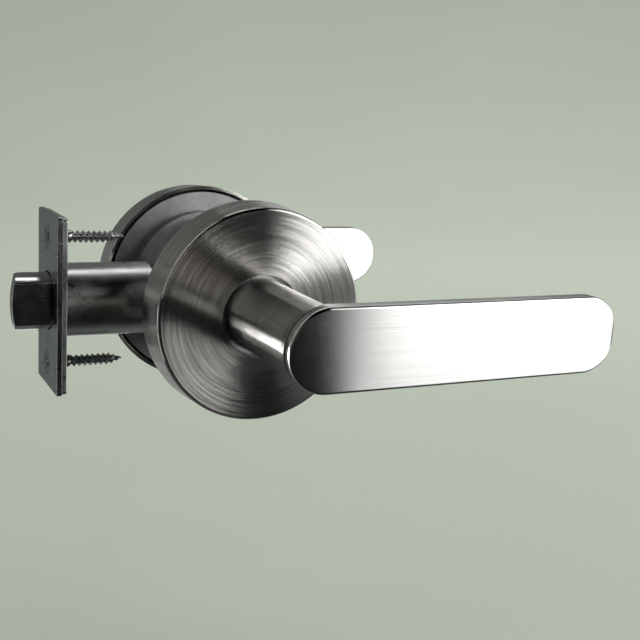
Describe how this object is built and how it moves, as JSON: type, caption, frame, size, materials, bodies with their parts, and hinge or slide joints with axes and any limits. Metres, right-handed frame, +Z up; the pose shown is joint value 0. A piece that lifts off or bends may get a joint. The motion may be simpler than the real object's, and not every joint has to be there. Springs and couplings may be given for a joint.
{
  "type": "door lever handle",
  "caption": "Passage door lever set: flat round-ended levers on plain round roses, a square spindle and a tubular spring latch with its faceplate.",
  "frame": {"origin": "where the spindle's axis meets the outside face of the door, in the plane that the outside trim seats on", "axes": "+X along both levers from the spindle to their tips, +Y into the door from the outside trim to the inside trim, +Z up"},
  "size_m": [0.1783, 0.1645, 0.0712],
  "materials": {
    "satin_steel": "satin stainless steel, brushed along the blade and in circles on the rose",
    "faceplate_steel": "dark polished steel sheet with fine scratches",
    "bolt_metal": "bright nickel plating over steel",
    "plated_steel": "zinc-plated steel sheet and turned parts",
    "cast_zinc": "plain die-cast zinc, near cast iron in density",
    "spring_steel": "oiled spring steel wire and strip",
    "hub_steel": "sintered steel",
    "screw_steel": "nickel-plated steel screws",
    "acetal": "black acetal bearing plastic"
  },
  "bodies": {
    "root": {"outside_rose": "satin_steel", "outside_mounting_plate": "cast_zinc", "outside_bush": "acetal", "outside_return_spring": "spring_steel", "inside_rose": "satin_steel", "inside_mounting_plate": "cast_zinc", "inside_bush": "acetal", "inside_return_spring": "spring_steel", "mounting_posts": "plated_steel", "through_screws": "screw_steel", "latch_faceplate": "faceplate_steel", "latch_back_plate": "plated_steel", "faceplate_screws": "screw_steel", "latch_tube": "plated_steel", "latch_side_plate_outside": "plated_steel", "latch_side_plate_inside": "plated_steel", "latch_case_rivets": "screw_steel", "latch_spring_seat": "plated_steel", "latch_spring": "spring_steel"},
    "outside_lever": {"outside_lever": "satin_steel", "outside_spring_driver": "plated_steel", "outside_thrust_washer": "plated_steel", "outside_circlip": "spring_steel", "spindle": "plated_steel"},
    "inside_lever": {"inside_lever": "satin_steel", "inside_spring_driver": "plated_steel", "inside_thrust_washer": "plated_steel", "inside_circlip": "spring_steel"},
    "latch_hub": {"latch_hub": "hub_steel"},
    "latch_bolt": {"latch_bolt": "bolt_metal", "latch_bolt_pin": "screw_steel", "draw_bar": "plated_steel"}
  },
  "joints": [
    {"name": "outside_lever_turn", "type": "hinge", "parent": "root", "child": "outside_lever", "pos_m": [0, 0, 0], "axis": [0, 1, 0], "range_deg": [0, 60], "stiffness_Nm_per_rad": 0.3, "springref_deg": -68.75, "deforming": ["outside_return_spring"]},
    {"name": "inside_lever_turn", "type": "hinge", "parent": "root", "child": "inside_lever", "pos_m": [0, 0.04445, 0], "axis": [0, 1, 0], "range_deg": [0, 60], "stiffness_Nm_per_rad": 0.3, "springref_deg": -68.75, "deforming": ["inside_return_spring"]},
    {"name": "latch_hub_turn", "type": "hinge", "parent": "root", "child": "latch_hub", "pos_m": [0, 0.02223, 0], "axis": [0, 1, 0], "range_deg": [0, 60]},
    {"name": "latch_bolt_slide", "type": "slide", "parent": "root", "child": "latch_bolt", "axis": [1, 0, 0], "range_m": [0, 0.012], "stiffness_N_per_m": 300, "springref_m": -0.014, "deforming": ["latch_spring"]}
  ],
  "couplings": [
    {"joint": "inside_lever_turn", "follows": "outside_lever_turn", "ratio": 1},
    {"joint": "latch_hub_turn", "follows": "outside_lever_turn", "ratio": 1},
    {"joint": "latch_bolt_slide", "follows": "outside_lever_turn", "m_per_rad": 0.011459}
  ]
}
